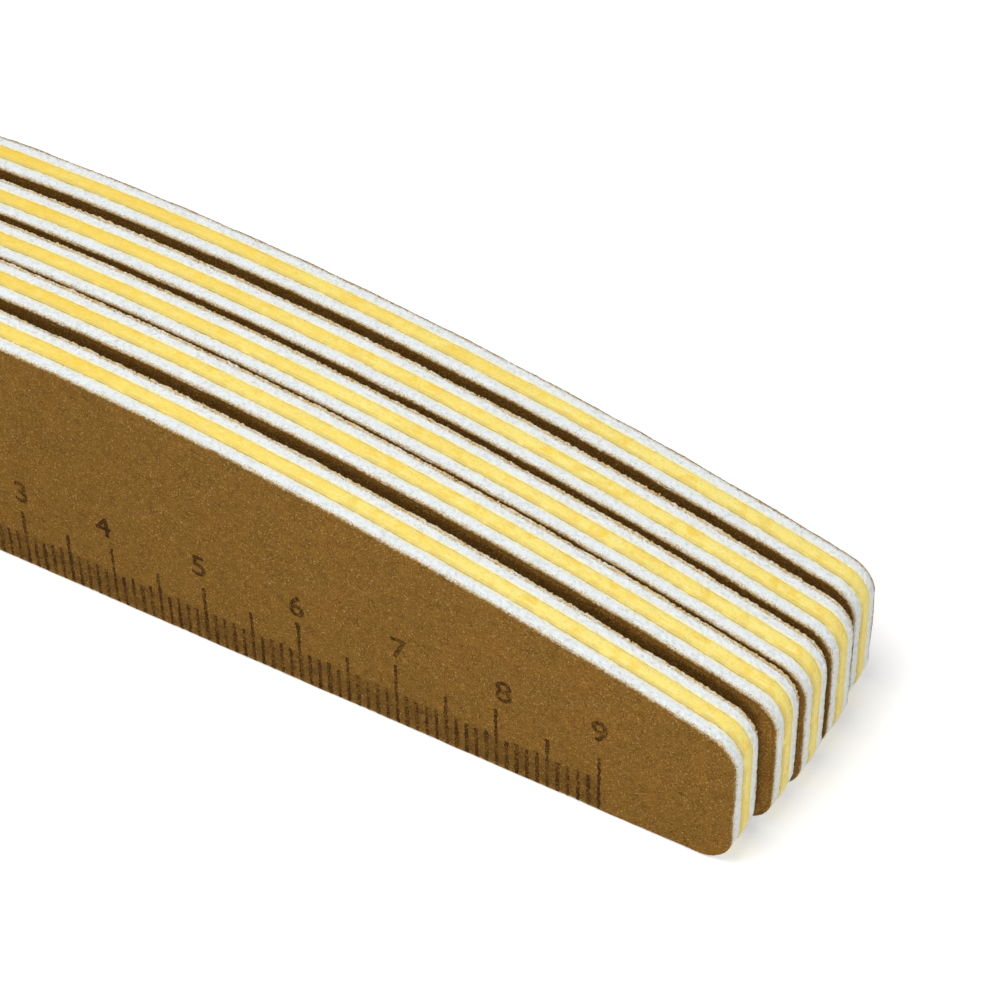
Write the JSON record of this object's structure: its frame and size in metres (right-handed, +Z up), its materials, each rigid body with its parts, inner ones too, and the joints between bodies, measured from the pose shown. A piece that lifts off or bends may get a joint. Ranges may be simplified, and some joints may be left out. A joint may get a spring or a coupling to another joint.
{
  "type": "emery board set",
  "caption": "Half-moon emery boards for filing nails, laminated from grit sheets, white cushion foam and a yellow plastic core, standing in a row on their straight edges.",
  "frame": {"origin": "under the middle of the row, on the surface that the boards stand on", "axes": "+X along the boards towards the high end of the ruler, +Y from the front board to the rear one, +Z up"},
  "size_m": [0.1792, 0.0246, 0.0267],
  "materials": {
    "abrasive": "gold-brown grit on paper, matt with fine sparkle",
    "glue": "dried adhesive film",
    "foam": "white closed-cell foam, cut edge",
    "core": "yellow plastic, cut edge"
  },
  "bodies": {
    "front_board": {"front_board_front_abrasive_sheet": "abrasive", "front_board_front_sheet_glue": "glue", "front_board_front_foam_pad": "foam", "front_board_front_core_glue": "glue", "front_board_core_board": "core", "front_board_rear_core_glue": "glue", "front_board_rear_foam_pad": "foam", "front_board_rear_sheet_glue": "glue", "front_board_rear_abrasive_sheet": "abrasive"},
    "second_board": {"second_board_front_abrasive_sheet": "abrasive", "second_board_front_sheet_glue": "glue", "second_board_front_foam_pad": "foam", "second_board_front_core_glue": "glue", "second_board_core_board": "core", "second_board_rear_core_glue": "glue", "second_board_rear_foam_pad": "foam", "second_board_rear_sheet_glue": "glue", "second_board_rear_abrasive_sheet": "abrasive"},
    "middle_board": {"middle_board_front_abrasive_sheet": "abrasive", "middle_board_front_sheet_glue": "glue", "middle_board_front_foam_pad": "foam", "middle_board_front_core_glue": "glue", "middle_board_core_board": "core", "middle_board_rear_core_glue": "glue", "middle_board_rear_foam_pad": "foam", "middle_board_rear_sheet_glue": "glue", "middle_board_rear_abrasive_sheet": "abrasive"},
    "fourth_board": {"fourth_board_front_abrasive_sheet": "abrasive", "fourth_board_front_sheet_glue": "glue", "fourth_board_front_foam_pad": "foam", "fourth_board_front_core_glue": "glue", "fourth_board_core_board": "core", "fourth_board_rear_core_glue": "glue", "fourth_board_rear_foam_pad": "foam", "fourth_board_rear_sheet_glue": "glue", "fourth_board_rear_abrasive_sheet": "abrasive"},
    "rear_board": {"rear_board_front_abrasive_sheet": "abrasive", "rear_board_front_sheet_glue": "glue", "rear_board_front_foam_pad": "foam", "rear_board_front_core_glue": "glue", "rear_board_core_board": "core", "rear_board_rear_core_glue": "glue", "rear_board_rear_foam_pad": "foam", "rear_board_rear_sheet_glue": "glue", "rear_board_rear_abrasive_sheet": "abrasive"}
  },
  "joints": [
    {"name": "second_board_lift", "type": "slide", "parent": "front_board", "child": "second_board", "axis": [0, 0, 1], "range_m": [0, 0.03]},
    {"name": "middle_board_lift", "type": "slide", "parent": "front_board", "child": "middle_board", "axis": [0, 0, 1], "range_m": [0, 0.03]},
    {"name": "fourth_board_lift", "type": "slide", "parent": "front_board", "child": "fourth_board", "axis": [0, 0, 1], "range_m": [0, 0.03]},
    {"name": "rear_board_lift", "type": "slide", "parent": "front_board", "child": "rear_board", "axis": [0, 0, 1], "range_m": [0, 0.03]}
  ]
}
